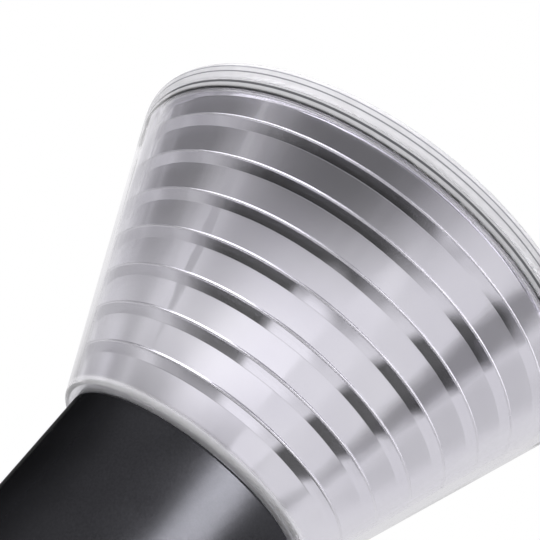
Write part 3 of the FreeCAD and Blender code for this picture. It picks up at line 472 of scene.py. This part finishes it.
def make_floor():
    mesh = bpy.data.meshes.new("floor")
    build = bmesh.new()
    bmesh.ops.create_circle(build, cap_ends=True, radius=FLOOR_RADIUS, segments=96)
    build.to_mesh(mesh)
    build.free()
    floor = link(bpy.data.objects.new("floor", mesh))
    made, g = new_material("floor_white")
    place = place_coords(g)
    away = g.node("ShaderNodeVectorMath", {0: place}, operation="LENGTH").outputs["Value"]
    paper = g.noise(place, 60.0, 3.0)
    colour = g.mix(paper, (0.84, 0.84, 0.84), (0.88, 0.88, 0.88))
    pale = g.node("ShaderNodeBsdfDiffuse", {"Color": colour})
    white = g.node("ShaderNodeEmission", {"Color": (1, 1, 1, 1), "Strength": 1.0})
    seen = g.node("ShaderNodeLightPath").outputs["Is Camera Ray"]
    fade = g.math("MULTIPLY", g.remap(away, FLOOR_FADE_FROM, FLOOR_RADIUS, 0, 1, smooth=True), seen)
    both = g.node("ShaderNodeMixShader", {0: fade, 1: pale, 2: white})
    g.node("ShaderNodeOutputMaterial", {"Surface": both})
    mesh.materials.append(made)
    floor.visible_glossy = False
    floor.visible_transmission = False


# The light tent that shiny surfaces mirror. Directions are from the tent's middle: degrees round from the
# camera, positive to its right, and degrees up. Each soft area has its middle, half width, half height,
# tilt, softness of its edge, and brightness against white; a later one lies over those before it.
TENT_RADIUS = 0.21
TENT_MIDDLE = 25 * MM
TENT_LEVEL = 0.74
TENT_AREAS = {
    "white behind left": (-165, -7, 27, 50, 11, 0.4, 0.86),
    "grey low on the left": (-112, 3, 30, 12, 0, 0.5, 0.42),
    "pale card low on the right": (92, -38, 22, 14, 0, 0.4, 0.6),
    "flag above": (-3, 35, 67, 19, -18, 0.7, 0.15),
    "grey above left": (-102, 46.5, 40, 17, 22, 0.55, 0.22),
    "soft box at the camera": (-12, 5, 34, 14, -35, 0.6, 1.02),
    "dark side of the camera": (-34, -1, 47, 14, -25, 0.45, 0.03),
    "dark stand left of the camera": (-68, -11, 9, 8, 0, 0.5, 0.08),
    "gap under the camera": (-22, -22, 14, 8, -48, 0.35, 0.97),
    "dark edge below": (22, -50, 32, 11, -3, 0.25, 0.05),
    "stand on the right": (60, -25, 9, 19, -11, 0.6, 0.31),
    "stand on the left": (-94, 12, 11, 16, 8, 0.6, 0.42),
    "edge of a soft box above": (-68, 40, 4, 12, -8, 0.3, 0.46),
    "pale card on the right": (13, -9, 10, 15, -25, 0.25, 0.82),
    "white overhead": (0, 90, 400, 35, 0, 0.1, 2.4),
    "bright strip on the right": (77, 10, 46, 13, -43, 0.3, 2.4),
    "pale strip on the left": (-146, 33, 26, 7, 45, 0.3, 0.95),
}
WORLD_LEVEL = 0.62


def make_tent():
    mesh = bpy.data.meshes.new("light_tent")
    build = bmesh.new()
    bmesh.ops.create_icosphere(build, subdivisions=5, radius=TENT_RADIUS)
    build.to_mesh(mesh)
    build.free()
    tent = link(bpy.data.objects.new("light_tent", mesh))
    tent.location = PIVOT + BEAM * (SHADE_FOOT + TENT_MIDDLE)
    tent.rotation_euler.z = CAMERA_TURN
    made, g = new_material("light_tent")
    x, y, z = g.node("ShaderNodeSeparateXYZ", {"Vector": place_coords(g)}).outputs
    round_from_camera = g.math("DEGREES", g.math("ARCTAN2", y, x))
    upward = g.math("DEGREES", g.math("ARCSINE", g.math("DIVIDE", z, TENT_RADIUS)))
    level = TENT_LEVEL
    for azimuth, elevation, wide, high, tilt, soft, bright in TENT_AREAS.values():
        turn = math.radians(tilt)
        across = g.math("SUBTRACT", round_from_camera, azimuth)
        above = g.math("SUBTRACT", upward, elevation)
        u = g.math("ADD", g.math("MULTIPLY", across, math.cos(turn) / wide),
                   g.math("MULTIPLY", above, math.sin(turn) / wide))
        v = g.math("ADD", g.math("MULTIPLY", across, -math.sin(turn) / high),
                   g.math("MULTIPLY", above, math.cos(turn) / high))
        reach = g.math("SQRT", g.math("ADD", g.math("MULTIPLY", u, u), g.math("MULTIPLY", v, v)))
        share = g.remap(reach, 1 - soft, 1 + soft, 1, 0, smooth=True)
        level = g.math("ADD", g.math("MULTIPLY", level, g.math("SUBTRACT", 1.0, share)),
                       g.math("MULTIPLY", share, bright))
    glow = g.node("ShaderNodeEmission", {"Color": (0.99, 0.985, 1, 1), "Strength": level})
    g.node("ShaderNodeOutputMaterial", {"Surface": glow})
    mesh.materials.append(made)
    tent.visible_camera = False
    tent.visible_diffuse = False
    tent.visible_shadow = False
    tent.visible_volume_scatter = False


def make_world():
    world = bpy.data.worlds.new("studio")
    bpy.context.scene.world = world
    world.use_nodes = True
    g = Graph(world.node_tree)
    path = g.node("ShaderNodeLightPath")
    shown = g.math("MAXIMUM", path.outputs["Is Camera Ray"],
                   g.math("MAXIMUM", path.outputs["Is Glossy Ray"], path.outputs["Is Transmission Ray"]))
    strength = g.remap(shown, 0, 1, WORLD_LEVEL, 1)
    back = g.node("ShaderNodeBackground", {"Color": (1, 1, 1, 1), "Strength": strength})
    g.node("ShaderNodeOutputWorld", {"Surface": back})


def toward(azimuth, elevation):
    """A direction from degrees round from the camera, positive to its right, and degrees up."""
    a = math.radians(azimuth) + CAMERA_TURN
    e = math.radians(elevation)
    return Vector((math.cos(a) * math.cos(e), math.sin(a) * math.cos(e), math.sin(e)))


def make_lamp(name, azimuth, elevation, distance, size, power, only=()):
    """A soft lamp aimed at the shade's foot, which lights every surface or only the nodes named.

    Its direction is in degrees, its distance and size in metres and its power in watts.
    """
    data = bpy.data.lights.new(name, "AREA")
    data.shape = "RECTANGLE"
    data.size, data.size_y = size
    data.energy = power
    lamp = link(bpy.data.objects.new(name, data))
    out = toward(azimuth, elevation)
    lamp.location = PIVOT + BEAM * SHADE_FOOT + out * distance
    lamp.rotation_mode = "QUATERNION"
    lamp.rotation_quaternion = (-out).to_track_quat("-Z", "Y")
    if only:
        receivers = bpy.data.collections.new(name)
        for node in only:
            receivers.objects.link(NODES[node])
        lamp.light_linking.receiver_collection = receivers
        lamp.light_linking.blocker_collection = receivers
        data.cycles.use_multiple_importance_sampling = False
    else:
        lamp.visible_glossy = False
        lamp.visible_transmission = False


def make_studio():
    make_floor()
    make_tent()
    make_world()
    make_lamp("key_lamp", -32, 50, 0.9, (0.6, 0.6), 6)
    make_lamp("fill_lamp", 68, 35, 1.0, (0.8, 0.5), 3)
    make_lamp("strip_lamp", 49, 14, 0.6, (0.36, 0.3), 40, only=BLACK_BODY)
    make_lamp("back_lamp", 165, 30, 0.6, (0.3, 0.3), 20, only=BLACK_BODY)
    bpy.context.scene.view_settings.view_transform = "Standard"
    bpy.context.scene.cycles.max_bounces = 24
    bpy.context.scene.cycles.glossy_bounces = 16
    bpy.context.scene.cycles.transmission_bounces = 20


make_camera()
dress_all()
round_edges()
make_beads()
make_phosphor()
make_studio()
